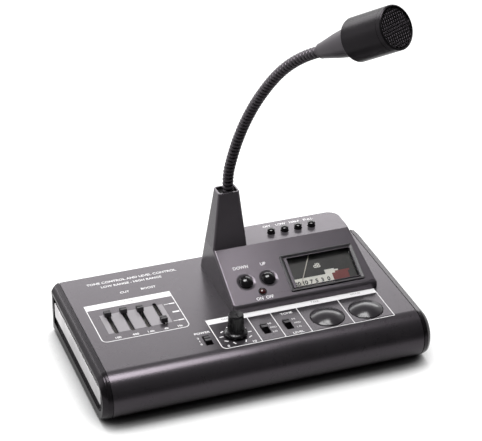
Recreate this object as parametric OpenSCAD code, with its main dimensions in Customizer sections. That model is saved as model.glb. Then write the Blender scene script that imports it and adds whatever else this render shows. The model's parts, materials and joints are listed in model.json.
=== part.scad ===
// Desk microphone: a wide low base with a sloped console, a tapered tower,
// a ribbed gooseneck and a round microphone head.
// The origin is on the table under the middle of the base, +X to the right, +Y to the back.

/* [Base] */
// Width of the top cover between the end caps
cover_w = 240; // [236:1:280]
// Depth of the base from the nose to the back
base_d = 144.4; // [142:0.2:180]
// Height of the base without its feet
body_h = 37; // [34:0.5:50]
// Thickness of the sheet of the cover, the rear panel and the base plate
sheet = 2; // [1.6:0.1:2.4]
// Width of the flange that the cover turns under the base
cover_lip = 8; // [4:0.5:14]
// Width of each end cap
cap_w = 7.2; // [6:0.2:12]
// How far the shoulder of an end cap falls to its outer face
cap_drop = 4.4; // [3:0.2:6]
// Depth of the field in an end cap that holds the trim
field_depth = 1.6; // [1.2:0.1:2.4]
// Rim between the edge of an end cap and its field
field_rim = 2; // [1.2:0.1:3]
// Height of the trim strip on an end cap
trim_h = 13; // [8:0.5:18]
// Thickness of the trim strip
trim_t = 1.2; // [0.8:0.1:1.6]
// Height of the feet
foot_h = 3; // [2:0.5:8]
// Diameter of the feet
foot_d = 13; // [10:0.5:16]

/* [Equaliser sliders] */
// Distance from one slider to the next
eq_pitch = 12.4; // [11:0.1:14]
// Distance from the left edge of the cover to the first slider
eq_side = 21.5; // [16:0.5:30]
// Distance from the nose to the middle of the sliders
eq_setback = 77.2; // [74:0.2:90]
// Travel of a slider from end to end
eq_travel = 26; // [20:0.5:28]
// Width of a slider's slot
eq_slot_w = 2.8; // [2.4:0.1:3.6]

/* [Front row] */
// Distance from the nose to the middle of the front row of controls
row_setback = 31.4; // [30:0.2:36]
// Place of the left slide switch across the base
switch_1_x = -39.2; // [-42:0.2:-37]
// Place of the middle slide switch across the base
switch_2_x = 5.6; // [4:0.2:7]
// Place of the right slide switch across the base
switch_3_x = 23.4; // [21:0.2:25]
// Width of a slide switch's opening
switch_w = 5.6; // [5:0.1:7]
// Length of a slide switch's opening
switch_l = 12.6; // [11:0.1:14]
// Travel of a slide switch to each side
switch_travel = 3.2; // [2:0.1:3.4]
// Place of the gain knob across the base
knob_x = -17.5; // [-20:0.5:-15]
// Diameter of the knob's skirt
knob_skirt_d = 17.4; // [16:0.1:20]
// Diameter of the knob's grip
knob_d = 12.4; // [11:0.2:13]
// Height of the knob above the cover
knob_h = 18; // [14:0.5:22]
// Diameter of the knob's shaft
shaft_d = 6; // [5:0.1:6.4]
// Distance from the right edge of the cover to the right talk button
talk_side = 34.3; // [30:0.1:35]
// Distance from one talk button to the other
talk_pitch = 31.1; // [30:0.1:34]
// Diameter of a talk button
talk_d = 25.4; // [20:0.2:27]
// Height of a talk button's crown above the cover
talk_h = 3.8; // [3.4:0.1:6]
// Travel of a talk button
talk_travel = 3; // [2:0.1:3.4]

/* [Console] */
// Distance from the nose to the front of the console
con_setback = 56.4; // [54:0.2:62]
// Place of the console's left foot across the base
con_left = -10.4; // [-12:0.2:-9]
// Width of the console at its foot
con_w = 117.1; // [115:0.2:119]
// Height of the console's front lip
con_lip = 6.3; // [5:0.1:8]
// Height of the console
con_h = 29.4; // [28:0.1:34]
// Slope of the front panel in degrees
con_slope = 26.7; // [25:0.1:29]
// Depth of the flat top behind the crease
con_top_d = 27; // [26:0.2:29]
// How far the back of the console runs out to its foot
con_back_run = 9.5; // [6:0.1:11]
// Draft of the console's right side in degrees
con_draft = 12; // [8:0.5:13]
// Draft of the console's left side in degrees
con_left_draft = 1.2; // [0:0.1:2]
// Wall of the console
con_wall = 2.5; // [2:0.1:3]
// Radius of the console's front corners
con_r = 5; // [3.2:0.1:8]
// Radius of the console's rear corners
con_rear_r = 9; // [6:0.5:11]

/* [Console keys] */
// Place of the left step key along the panel, from the left foot
key_1_x = 16.6; // [15.6:0.1:17]
// Place of the right step key along the panel, from the left foot
key_2_x = 34.5; // [34:0.1:36]
// Distance of the step keys up the panel's slope
key_v = 20; // [17:0.2:22]
// Diameter of a step key
key_d = 10.2; // [9:0.1:11]
// Diameter of the sunk dish round a step key
key_dish_d = 15; // [12:0.1:15.4]
// Travel of a step key
key_travel = 1.5; // [1:0.1:1.8]
// Place of the lamp along the panel, from the left foot
lamp_x = 26.2; // [24:0.2:28]
// Distance of the lamp up the panel's slope
lamp_v = 9.3; // [8.6:0.1:10]
// Diameter of the lamp
lamp_d = 4.6; // [3:0.1:5.4]
// Place of the first small key, from the left foot
small_x = 51.4; // [48:0.2:54]
// Distance from one small key to the next
small_pitch = 11.1; // [10:0.1:13]
// Distance of the small keys behind the crease
small_setback = 11.6; // [10:0.1:14]
// Diameter of a small key
small_d = 5.8; // [4.4:0.1:6.2]
// Height of a small key above the flat top
small_h = 4; // [3:0.1:6]
// Travel of a small key
small_travel = 1.8; // [1:0.1:2.2]

/* [Meter] */
// Place of the meter's middle along the panel, from the left foot
meter_x = 77.8; // [76:0.1:78.4]
// Distance of the meter's middle up the panel's slope
meter_v = 20.4; // [20:0.1:21]
// Width of the window
window_w = 54.5; // [48:0.1:55]
// Height of the window
window_h = 27.3; // [24:0.1:27.5]
// Width of the bezel round the window
bezel_side = 2.5; // [2.4:0.1:2.7]
// Number of steps in the bezel
bezel_steps = 4; // [2:1:5]
// How far the bezel stands out of the panel
bezel_rise = 1.2; // [0.8:0.1:2.4]
// Depth of the meter's case behind the panel
case_depth = 14; // [12:0.5:16]
// Distance from the meter's middle up to the pivot of the needle
pivot_up = 23.6; // [22:0.1:24.4]
// Length of the needle from its pivot
needle_l = 39; // [34:0.5:39]
// Width of the needle
needle_w = 0.7; // [0.5:0.05:1]
// Angle of the needle at rest, to the left of the slope, in degrees
needle_rest = 30; // [24:0.5:34]

/* [Tower] */
// Height of the tower above the console
tower_h = 45.6; // [40:0.2:60]
// Width of the tower's foot
tower_w = 27.1; // [26:0.1:29]
// Width of the tower's top
tower_top_w = 16.8; // [16:0.1:18.4]
// Depth of the tower's top
tower_top_d = 13; // [12.4:0.1:14]
// Distance from the tower's front foot back to the middle of its top
tower_top_back = 10.8; // [10:0.1:13]
// How far the middle of the tower's top is to the right of its foot's middle
tower_top_side = 0.5; // [0:0.1:1]
// Wall of the tower
tower_wall = 2; // [1.6:0.1:2.2]
// Thickness of the tower's solid top
tower_cap = 14; // [12:0.5:16]

/* [Gooseneck] */
// Outer diameter of the gooseneck
neck_d = 8.5; // [8.2:0.1:8.7]
// Depth of the groove between two ribs
rib_depth = 0.5; // [0.3:0.05:0.7]
// Distance from one rib to the next
rib_pitch = 2.4; // [2:0.1:3]
// Diameter of the bore that carries the lead
neck_bore = 2.6; // [2:0.1:2.8]
// Distance of the gooseneck to the right of the middle of the tower's top
stem_side = 1.2; // [0:0.1:1.3]
// Heading of the bend, in degrees from the front towards the right
neck_heading = 28; // [0:1:45]
// Length of the gooseneck from the tower to the head
neck_len = 170.5; // [160:0.5:185]
// How far the gooseneck bends over in all, in degrees
neck_bend = 60; // [30:1:90]
// Length of the gooseneck below its first knuckle
knuckle_first = 20; // [16:0.5:24]
// Length of the gooseneck above its last knuckle
knuckle_last = 15; // [12:0.5:18]
// How far a knuckle swings to each side, in degrees
knuckle_swing = 22; // [10:1:22]

/* [Head] */
// Diameter of the head
head_d = 31; // [28:0.1:36]
// Length of the head
head_l = 38.5; // [36:0.5:60]
// Wall of the head
head_wall = 1.6; // [1.2:0.1:2]
// Length of the cone between the gooseneck and the head
cone_l = 35; // [28:0.5:44]
// Diameter of the cone at the gooseneck
cone_d1 = 11; // [10:0.1:12]
// Diameter of the cone at the head
cone_d2 = 22.4; // [18:0.1:25]
// Width of the rim round the grille
rim_w = 1.4; // [1.2:0.1:3]
// Length of the rim
rim_l = 4.5; // [3:0.1:7]
// Thickness of the grille
grille_t = 1; // [0.6:0.1:1.4]
// Diameter of a hole in the grille
grille_hole = 1.7; // [1:0.05:1.8]
// Distance from one hole in the grille to the next
grille_pitch = 2.3; // [2.2:0.05:3]
// Diameter of the microphone capsule
capsule_d = 20; // [14:0.5:22]

/* [Inside] */
// Thickness of the circuit boards
board_t = 1.6; // [1:0.1:2]
// Height of the posts under the main board
post_h = 6; // [4:0.5:9]
// Running clearance of a piece that slides or turns in another
run = 0.3; // [0.25:0.05:0.35]
// Clearance of a round fit
fit = 0.05; // [0.03:0.01:0.08]
// Diameter of the round socket on the back
socket_d = 16; // [14:0.5:18]
// Diameter of the power jack on the back
jack_d = 10; // [8:0.5:11]

/* [Hidden] */
$fn = 64;
hull_fn = 48;
eq_count = 4;
small_count = 4;
knuckle_count = 5;

heading = [sin(neck_heading), -cos(neck_heading), 0];
neck_start = 5;
neck_end = 8;
neck_free = neck_len - neck_start - neck_end;
neck_runs = [neck_start, neck_free * 0.087, neck_free * 0.397, neck_free * 0.229, neck_free * 0.287,
    neck_end];
neck_turns = neck_bend * [0, 0.234, 0.257, 0.154, 0.355, 0];
knuckle_pitch = (neck_len - knuckle_first - knuckle_last) / (knuckle_count - 1);
socket_out = 5;
rim_edge = 0.8;

// The base stands so far back that the origin is under the middle of the whole microphone
neck_tip = neck_at(neck_len);
head_aim = cos(neck_heading) * cos(neck_tip[2]);
rim_reach = (head_d / 2 - rim_edge) * sqrt(1 - head_aim * head_aim);
head_reach = cos(neck_heading) * neck_tip[0] + (cone_l + head_l) * head_aim + rim_reach;
stem_from_nose = con_setback + (con_h - con_lip) / tan(con_slope) + tower_top_back;
overhang = max(head_reach - stem_from_nose, 0);
base_shift = (overhang - socket_out) / 2;
top_z = foot_h + body_h;
front_y = base_shift - base_d / 2;
back_y = base_shift + base_d / 2;
nose_r = body_h / 2;
nose_y = front_y + nose_r;
mid_z = foot_h + nose_r;
lip_y = nose_y + cover_lip;
under_z = top_z - sheet;
row_y = front_y + row_setback;
eq_y = front_y + eq_setback;
eq_x0 = -cover_w / 2 + eq_side;
switch_x = [switch_1_x, switch_2_x, switch_3_x];
talk_x = [cover_w / 2 - talk_side - talk_pitch, cover_w / 2 - talk_side];
key_x = [key_1_x, key_2_x];
bezel_w = window_w + 2 * bezel_side;
bezel_h = window_h + 2 * bezel_side;

con_front_y = front_y + con_setback;
con_right = con_left + con_w;
con_top_z = top_z + con_h;
crease_y = con_front_y + (con_h - con_lip) / tan(con_slope);
con_back_top_y = crease_y + con_top_d;
con_back_y = con_back_top_y + con_back_run;
con_lean = atan(con_back_run / con_h);
small_y = crease_y + small_setback;

board_z = foot_h + sheet + post_h;
talk_boss = 6;
talk_boss_r = 3;
talk_edge = 0.3;
talk_gap = 0.5;
talk_catch = 0.8;
talk_flange = 1.6;

tower_z = con_top_z + tower_h;
tower_foot_x = con_left + con_h * tan(con_left_draft);
tower_mid_x = tower_foot_x + tower_w / 2;
tower_top_x = tower_mid_x + tower_top_side;
stem_x = tower_top_x + stem_side;
stem_y = crease_y + tower_top_back;
neck_r = neck_d / 2;
neck_sides = 12;
ball_r = neck_r - 0.6;
cup_r = ball_r + 0.1;
cup_mouth = 1.2;
cup_l = 4.2;
stem_r = ball_r * 0.6;
rib_stop = cup_mouth * cos(knuckle_swing) + neck_r * sin(knuckle_swing) + run;
shank_r = neck_r - 0.2;
shank_l = 16;
lap = 0.35;

// Draws a section of the Y-Z plane out along X from x0 to x1
module along_x(x0, x1) {
    translate([x0, 0, 0]) rotate([90, 0, 90]) linear_extrude(x1 - x0) children();
}

// A rectangle round the origin with round corners
module round_rect(w, h, r) {
    square([w - 2 * r, h], center = true);
    square([w, h - 2 * r], center = true);
    for (sx = [-1, 1]) {
        for (sy = [-1, 1]) {
            translate([sx * (w / 2 - r), sy * (h / 2 - r)]) circle(r);
        }
    }
}

// A rectangle round the origin whose front and rear corners have their own radius
module cornered(w, d, front_r, rear_r) {
    translate([-w / 2, -d / 2 + front_r]) square([w, d - front_r - rear_r]);
    translate([-w / 2 + front_r, -d / 2]) square([w - 2 * front_r, d / 2]);
    translate([-w / 2 + rear_r, 0]) square([w - 2 * rear_r, d / 2]);
    for (sx = [-1, 1]) {
        if (front_r > 0) {
            translate([sx * (w / 2 - front_r), -d / 2 + front_r]) circle(front_r);
        }
        translate([sx * (w / 2 - rear_r), d / 2 - rear_r]) circle(rear_r);
    }
}

// A block round the origin in plan, standing on z0
module block(w, d, z0, h) {
    translate([-w / 2, -d / 2, z0]) cube([w, d, h]);
}

// A round bar from z0 upwards
module bar(r, z0, h) {
    translate([0, 0, z0]) cylinder(r = r, h = h);
}

// Base

// Section of the base drawn in by a margin
module body_section(margin = 0) {
    translate([nose_y, foot_h + margin]) square([back_y - nose_y - margin, body_h - 2 * margin]);
    translate([nose_y, mid_z]) circle(nose_r - margin);
}

// Places along the row of sliders
module at_fader(i) {
    translate([eq_x0 + i * eq_pitch, eq_y, 0]) children();
}

// Places in the front row
module at_row(x) {
    translate([x, row_y, 0]) children();
}

// A slot with round ends that runs along Y
module slot(w, l, z0, h) {
    translate([0, 0, z0]) linear_extrude(h) round_rect(w, l, w / 2 - 0.01);
}

eq_stem_l = 3;
eq_stem_w = eq_slot_w - 2 * run - 0.8;
eq_slot_l = eq_travel + eq_stem_l + 4 * run;
pot_bush_r = shaft_d / 2 + 1;
console_gap = 1.3;

module top_cover() color("dimgray") difference() {
    along_x(-cover_w / 2, cover_w / 2) difference() {
        body_section();
        body_section(sheet);
        translate([lip_y, foot_h - 1]) square([base_d, body_h - sheet + 1]);
    }
    for (i = [0:eq_count - 1]) {
        at_fader(i) slot(eq_slot_w, eq_slot_l, under_z - 1, sheet + 2);
    }
    for (x = switch_x) {
        at_row(x) block(switch_w, switch_l, under_z - 1, sheet + 2);
    }
    at_row(knob_x) bar(pot_bush_r + fit, under_z - 1, sheet + 2);
    for (x = talk_x) {
        at_row(x) bar(talk_d / 2 + talk_gap, under_z - 1, sheet + 2);
    }
    translate([con_left + con_wall + console_gap, con_front_y + con_wall + console_gap, under_z - 1])
        cube([con_w - 2 * con_wall - 2 * console_gap,
            con_back_y - con_front_y - 2 * con_wall - 2 * console_gap, sheet + 2]);
}

foot_side = 16;
foot_front = 12;
foot_rear = 18;
foot_x = cover_w / 2 - foot_side;
foot_y = [lip_y + foot_front, back_y - foot_rear];
plug_r = 2.5;

// Places of the feet under the base plate
module at_feet() {
    for (sx = [-1, 1]) {
        for (y = foot_y) {
            translate([sx * foot_x, y, 0]) children();
        }
    }
}

post_left = 30;
post_right = 14;
post_front = 26;
post_rear = 34;
post_r = 3;
post_x = [-cover_w / 2 + post_left, cover_w / 2 - post_right];
post_y = [lip_y + post_front, back_y - post_rear];

module base_plate() color("gray") difference() {
    union() {
        translate([-cover_w / 2, lip_y, foot_h]) cube([cover_w, back_y - sheet - lip_y, sheet]);
        for (x = post_x) {
            for (y = post_y) {
                translate([x, y, 0]) bar(post_r, foot_h, sheet + post_h);
            }
        }
    }
    at_feet() bar(plug_r + fit, foot_h - 1, sheet + 2);
}

module feet() color("black") at_feet() {
    rotate_extrude() polygon([[0, 0], [foot_d / 2 - 1, 0], [foot_d / 2, foot_h], [plug_r, foot_h],
        [plug_r, foot_h + sheet], [plug_r + 0.8, foot_h + sheet + 0.2],
        [plug_r, foot_h + sheet + 2], [0, foot_h + sheet + 2]]);
}

socket_x = -30;
jack_x = 20;
back_mid_z = foot_h + body_h / 2;

module rear_panel() color("dimgray") difference() {
    translate([-cover_w / 2, back_y - sheet, foot_h]) cube([cover_w, sheet, body_h - sheet]);
    for (p = [[socket_x, socket_d], [jack_x, jack_d]]) {
        translate([p[0], back_y + 1, back_mid_z]) rotate([90, 0, 0])
            cylinder(d = p[1] + 2 * fit, h = sheet + 2);
    }
}

// A panel socket on the back, its axis along Y
module at_back(x) {
    translate([x, back_y, back_mid_z]) rotate([-90, 0, 0]) children();
}

socket_in = 14;
socket_wall = 1.4;
flange_r = 2.2;

module mic_socket() color("silver") at_back(socket_x) {
    difference() {
        union() {
            bar(socket_d / 2, -socket_in, socket_in + socket_out);
            bar(socket_d / 2 + flange_r, 0, 2);
        }
        bar(socket_d / 2 - socket_wall, -3, socket_out + 4);
    }
    for (a = [0:7]) {
        rotate([0, 0, a * 360 / 7]) translate([a < 7 ? socket_d / 4 : 0, 0, 0]) bar(0.6, -4, 7);
    }
}

module power_jack() color("black") at_back(jack_x) difference() {
    union() {
        bar(jack_d / 2, -socket_in, socket_in + 1);
        bar(jack_d / 2 + flange_r / 2, 0, 1.6);
    }
    difference() {
        bar(2.8, -10, 14);
        bar(1, -11, 11);
    }
}

cap_groove = 0.6;
cap_slices = 5;
cap_plug = 3;

// Outline of an end cap whose shoulder has fallen by drop
module cap_outline(drop) {
    r = nose_r - drop;
    translate([nose_y, foot_h]) square([back_y - nose_y - drop * 0.6, body_h - drop]);
    translate([nose_y, mid_z]) circle(r, $fn = hull_fn);
    intersection() {
        translate([nose_y, mid_z]) scale([r / nose_r, 1]) circle(nose_r, $fn = hull_fn);
        translate([front_y, foot_h]) square([base_d, nose_r]);
    }
}

field_r = nose_r - cap_drop - field_rim;
field_back = back_y - cap_drop * 0.6 - field_rim - 2;

// Outline of the sunk field in an end cap
module field_outline() {
    translate([nose_y, mid_z - field_r]) square([field_back - nose_y, 2 * field_r]);
    translate([nose_y, mid_z]) circle(field_r);
}

// The right end cap, which the left one mirrors
module end_cap() {
    half = cover_w / 2;
    difference() {
        union() {
            hull() for (i = [0:cap_slices]) {
                t = i / cap_slices;
                let (x = half + cap_groove + t * (cap_w - cap_groove)) along_x(x - 0.02, x)
                    cap_outline(cap_drop * pow(t, 1.8));
            }
            along_x(half, half + cap_w / 2) body_section(cap_groove);
            along_x(half - cap_plug, half + cap_w / 2) body_section(sheet + run);
        }
        along_x(half + cap_w - field_depth, half + cap_w + 1) field_outline();
        along_x(half - cap_plug - 1, half) body_section(sheet + run + 2);
    }
}

module right_end_cap() color("#26262a") end_cap();

module left_end_cap() color("#26262a") mirror([1, 0, 0]) end_cap();

trim_front = nose_y - field_r + 5;
trim_back = field_back - 2.5;

// The right trim strip, which the left one mirrors
module trim_strip() {
    x0 = cover_w / 2 + cap_w - field_depth;
    along_x(x0, x0 + trim_t) translate([(trim_front + trim_back) / 2, mid_z + 1.5])
        round_rect(trim_back - trim_front, trim_h, 2);
}

module right_trim() color("silver") trim_strip();

module left_trim() color("silver") mirror([1, 0, 0]) trim_strip();

// Equaliser sliders

fader_h = 7;
fader_w = 8;
fader_l = eq_travel + 18;
fader_rest = [10.5, 11, 9.5, -10.5, 0];
eq_dip = 4;

module fader_bodies() color("silver") for (i = [0:eq_count - 1]) {
    at_fader(i) difference() {
        block(fader_w, fader_l, under_z - fader_h, fader_h);
        block(eq_slot_w, eq_slot_l, under_z - eq_dip, eq_dip + 1);
    }
}

fader_knob_w = 5;
fader_knob_l = 5.4;
fader_knob_h = 4.6;

// A slider's lever and its small cap
module fader_knob(i) color("#1c1c1e") at_fader(i) translate([0, fader_rest[i], 0]) {
    block(eq_stem_w, eq_stem_l, under_z - eq_dip + run, eq_dip + sheet + 2 * run);
    z1 = top_z + fader_knob_h - 1;
    along_x(-fader_knob_w / 2, fader_knob_w / 2) polygon([[-fader_knob_l / 2, top_z + run],
        [fader_knob_l / 2, top_z + run], [fader_knob_l / 2 - 0.6, z1], [0.5, z1], [0, z1 - 0.6],
        [-0.5, z1], [-fader_knob_l / 2 + 0.6, z1]]);
}

// Front row

switch_h = 8;
switch_dip = 4;
switch_rim = 2;
lever_w = switch_w - 2 * run - 0.4;
lever_l = switch_l - 2 * switch_travel - 2 * run;
lever_out = 1.8;
switch_rest = [0, 1, 1];

module switch_bodies() color("#2a2a2c") for (x = switch_x) {
    at_row(x) difference() {
        block(switch_w + 2 * switch_rim, switch_l + 4 * switch_rim, under_z - switch_h, switch_h);
        block(switch_w, switch_l, under_z - switch_dip, switch_dip + 1);
    }
}

// A slide switch's lever with a grip notch across its top
module switch_lever(i) color("#151516") at_row(switch_x[i])
    translate([0, switch_rest[i] * switch_travel, 0]) difference() {
    block(lever_w, lever_l, under_z - switch_dip + run, switch_dip - run + sheet + lever_out);
    translate([0, 0, top_z + lever_out]) rotate([0, 90, 0]) translate([0, 0, -lever_w])
        cylinder(r = 0.9, h = 2 * lever_w);
}

pot_d = 16.5;
pot_h = 9;
bush_out = 2.2;
nut_r = pot_bush_r + 2.4;
nut_h = 1.8;

module gain_pot() color("silver") at_row(knob_x) difference() {
    union() {
        bar(pot_d / 2, under_z - pot_h, pot_h);
        bar(pot_bush_r, under_z - 1, sheet + bush_out + 1);
        translate([0, 0, top_z]) cylinder(r = nut_r, h = nut_h, $fn = 6);
    }
    bar(shaft_d / 2 + fit, under_z - pot_h + 2, pot_h + sheet + bush_out);
}

shaft_in_knob = knob_h - 3;

module gain_shaft() color("gainsboro") at_row(knob_x) {
    bar(shaft_d / 2, under_z - pot_h + 2 + run, pot_h - 2 - run + sheet + shaft_in_knob);
}

skirt_gap = 1.6;
skirt_h = 3.3;
flute_count = 20;
flute_r = 0.55;

module gain_knob() color("#1a1a1c") at_row(knob_x) translate([0, 0, top_z]) difference() {
    rotate_extrude() polygon([[0, skirt_gap], [knob_skirt_d / 2, skirt_gap],
        [knob_skirt_d / 2, skirt_h - 0.8], [knob_skirt_d / 2 - 0.7, skirt_h],
        [knob_d / 2 + 0.4, skirt_h + 0.8], [knob_d / 2, skirt_h + 1.6],
        [knob_d / 2 - 0.5, knob_h - 1], [knob_d / 2 - 1.3, knob_h], [0, knob_h]]);
    bar(nut_r + run + 0.4, -1, 1 + bush_out + 2 * run);
    bar(shaft_d / 2 + fit, 0, shaft_in_knob + run);
    for (a = [0:flute_count - 1]) {
        rotate([0, 0, (a + 0.5) * 360 / flute_count]) translate([knob_d / 2, 0, 0])
            bar(flute_r, skirt_h + 2.2, knob_h);
    }
    translate([0, -knob_d / 2, knob_h]) cube([0.9, knob_d, 1.2], center = true);
}

// A talk button: a crowned cap that passes the cover over a flange that holds it in
module talk_cap(x) at_row(x) translate([0, 0, under_z - run]) {
    r = talk_d / 2;
    edge_z = sheet + run + talk_edge;
    crown = talk_h - talk_edge;
    crown_r = (r * r + crown * crown) / (2 * crown);
    bar(r + talk_gap + talk_catch, -talk_flange, talk_flange);
    bar(talk_boss_r, -talk_boss, talk_boss);
    intersection() {
        bar(r, -talk_flange, talk_flange + edge_z + crown);
        translate([0, 0, edge_z + crown - crown_r]) sphere(crown_r, $fn = 128);
    }
}

module talk_button() color("#303034") talk_cap(talk_x[0]);

module hold_button() color("#303034") talk_cap(talk_x[1]);

plunger_r = 2.5;
plunger_h = 4.5;
talk_switch_w = 12;
plunger_top = under_z - run - talk_boss - talk_travel - run;

module talk_switches() color("#2a2a2c") for (x = talk_x) {
    at_row(x) {
        block(talk_switch_w, talk_switch_w, board_z + board_t,
            plunger_top - plunger_h - board_z - board_t);
        bar(plunger_r, plunger_top - plunger_h, plunger_h);
    }
}

board_margin = 6;
board_front = 10;

module main_board() color("darkgreen") {
    translate([post_x[0] - board_margin, row_y - board_front, board_z])
        cube([post_x[1] - post_x[0] + 2 * board_margin,
            post_y[1] - row_y + board_front + board_margin, board_t]);
}

// Console

// A flat slice of the console at height z, from y0 to y1, its sides drawn in by a margin
module console_slice(margin, z, y0, y1) {
    x0 = con_left + margin + (z - top_z) * tan(con_left_draft);
    x1 = con_right - margin - (z - top_z) * tan(con_draft);
    translate([(x0 + x1) / 2, (y0 + y1) / 2, z - 0.01]) linear_extrude(0.01)
        cornered(x1 - x0, y1 - y0, 0, con_rear_r - margin, $fn = hull_fn);
}

// The console as a block drawn in by a margin, with its foot at z0
module console_block(margin, z0) {
    rise = margin / cos(con_slope);
    lean = margin / cos(con_lean);
    front = con_front_y + margin;
    top = con_top_z - margin;
    crease = con_front_y + (con_h - margin + rise - con_lip) / tan(con_slope);
    lip_z = top_z + con_lip + margin * tan(con_slope) - rise;
    back_slope = con_back_run / con_h;
    depth = con_back_y - con_front_y;
    intersection() {
        hull() {
            console_slice(margin, z0 + 0.01, front, con_back_y + (top_z - z0) * back_slope - lean);
            console_slice(margin, lip_z, front, front + depth / 2);
            console_slice(margin, top, crease, con_back_top_y + margin * back_slope - lean);
        }
        translate([(con_left + con_right) / 2, (con_front_y + con_back_y) / 2, z0 - 1])
            linear_extrude(con_h + 4)
                round_rect(con_w - 2 * margin + 1, depth - 2 * margin + 1, con_r - margin);
    }
}

// A place on the sloped panel: u from the left foot, v up the slope, w out of the panel
module on_panel(u, v, w = 0) {
    translate([con_left + u, con_front_y, top_z + con_lip]) rotate([con_slope, 0, 0])
        translate([0, v, w]) children();
}

// Places of the small keys on the flat top
module at_small(i) {
    translate([con_left + small_x + i * small_pitch, small_y, con_top_z]) children();
}

key_sink = 0.8;
key_flange = 1.2;
key_boss = 3.2;
key_switch_h = 4;
key_board_w = -con_wall - run - key_boss - key_travel - run - key_switch_h;
key_post_up = 9;
key_post_side = 5;
key_posts = [[key_x[0] - key_post_side, key_v + key_post_up], [key_x[1], key_v + key_post_up],
    [key_x[0] - key_post_side, lamp_v]];
board_side = 4;
tact_w = 6;
small_flange = 1.2;
small_boss = 3;
small_switch_h = 4;
small_board_z = -con_wall - run - small_boss - small_travel - run - small_switch_h;
small_post_side = 8;
small_board_d = 14;
small_post_x = [small_x - small_post_side, small_x + (small_count - 1) * small_pitch + small_post_side];
lead_hole_r = 4;
panel_cut = 1.4;

module console_housing() color("#55555a") difference() {
    union() {
        difference() {
            console_block(0, top_z);
            console_block(con_wall, top_z - 1);
        }
        for (p = key_posts) {
            on_panel(p[0], p[1], key_board_w) cylinder(r = 2, h = -key_board_w - con_wall / 2);
        }
        for (x = small_post_x) {
            translate([con_left + x, small_y, con_top_z + small_board_z])
                cylinder(r = 2.4, h = -small_board_z - con_wall / 2);
        }
    }
    for (u = key_x) {
        on_panel(u, key_v) bar(key_d / 2 + run, -con_wall - 1, con_wall + 2);
        on_panel(u, key_v, -key_sink) cylinder(r1 = key_d / 2 + run, r2 = key_dish_d / 2, h = key_sink);
        on_panel(u, key_v) bar(key_dish_d / 2, 0, 1);
    }
    on_panel(lamp_x, lamp_v) bar(lamp_d / 2 + fit, -con_wall - 1, con_wall + 2);
    on_panel(meter_x, meter_v)
        block(bezel_w - 2 * panel_cut, bezel_h - 2 * panel_cut, -con_wall - 1, con_wall + 2);
    for (i = [0:small_count - 1]) {
        at_small(i) bar(small_d / 2 + run, -con_wall - 1, con_wall + 2);
    }
    translate([stem_x, stem_y, con_top_z]) bar(lead_hole_r, -con_wall - 1, con_wall + 2);
}

// A round key with a crown, a flange that holds it under a wall, and a boss
module round_key(d, out, crown, flange, boss) {
    r = d / 2;
    crown_r = (r * r + crown * crown) / (2 * crown);
    translate([0, 0, -con_wall - run]) {
        bar(r + 1.2, -flange, flange);
        bar(1.6, -boss, boss);
    }
    intersection() {
        bar(r, -con_wall - run - flange, con_wall + run + flange + out);
        translate([0, 0, out - crown_r]) sphere(crown_r, $fn = 128);
    }
}

key_out = 2.9;
key_crown = 2.2;

module down_key() color("#101012") on_panel(key_x[0], key_v)
    round_key(key_d, key_out, key_crown, key_flange, key_boss);

module up_key() color("#101012") on_panel(key_x[1], key_v)
    round_key(key_d, key_out, key_crown, key_flange, key_boss);

module key_switches() color("#2a2a2c") for (u = key_x) {
    on_panel(u, key_v, key_board_w) block(tact_w, tact_w, 0, key_switch_h);
}

module key_board() color("darkgreen") on_panel(0, 0, key_board_w - board_t) {
    translate([key_posts[0][0] - board_side, lamp_v - board_side, 0])
        cube([key_x[1] - key_posts[0][0] + 2 * board_side,
            key_v + key_post_up - lamp_v + 2 * board_side, board_t]);
}

lamp_out = 1.6;

module power_lamp() color("firebrick") on_panel(lamp_x, lamp_v) {
    r = lamp_d / 2;
    bar(r, key_board_w, -key_board_w + lamp_out - r * 0.6);
    translate([0, 0, lamp_out - r * 0.6]) intersection() {
        bar(r, -0.5, r);
        translate([0, 0, -r * 0.4 - 0.533 * r]) sphere(r * 1.533);
    }
}

small_crown = 0.8;

module small_key(i) color("#101012") at_small(i)
    round_key(small_d, small_h, small_crown, small_flange, small_boss);

module small_key_switches() color("#2a2a2c") for (i = [0:small_count - 1]) {
    at_small(i) block(tact_w, tact_w, small_board_z, small_switch_h);
}

module small_key_board() color("darkgreen")
    translate([con_left, small_y, con_top_z + small_board_z - board_t]) {
    translate([small_post_x[0] - board_side, -small_board_d / 2, 0])
        cube([small_post_x[1] - small_post_x[0] + 2 * board_side, small_board_d, board_t]);
}

// Meter

bezel_back = 0.7;
glass_t = 1.2;
glass_w = -bezel_back - glass_t;
glass_edge = 0.4;
case_wall = 1.4;
case_top = pivot_up + 4.4;
case_half = bezel_w / 2 - panel_cut;
case_low = -bezel_h / 2 - 1;
dial_t = 0.8;
needle_t = 0.5;
needle_level = -con_wall - run - needle_t;
dial_w = needle_level - 0.9;
pin_r = 0.6;
hub_r = 2;

module on_meter(w = 0) {
    on_panel(meter_x, meter_v, w) children();
}

module meter_bezel() color("#3a3a3e") on_meter() difference() {
    union() {
        linear_extrude(bezel_rise) round_rect(bezel_w, bezel_h, 1.2);
        block(bezel_w - 2 * panel_cut - 2 * fit, bezel_h - 2 * panel_cut - 2 * fit, -con_wall, con_wall);
    }
    block(window_w + 2 * glass_edge + 2 * fit, window_h + 2 * glass_edge + 2 * fit,
        -con_wall - 1, con_wall + 1 - bezel_back);
    for (i = [0:bezel_steps - 1]) {
        t = i / (bezel_steps - 1);
        w = bezel_w - 2 - t * (bezel_w - 2 - window_w);
        h = bezel_h - 2 - t * (bezel_h - 2 - window_h);
        drop = (bezel_rise + bezel_back) * (i + 1) / bezel_steps;
        level = i == bezel_steps - 1 ? -bezel_back - 1 : bezel_rise - drop;
        block(w, h, level, 2 * bezel_rise + bezel_back + 1);
    }
}

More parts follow.
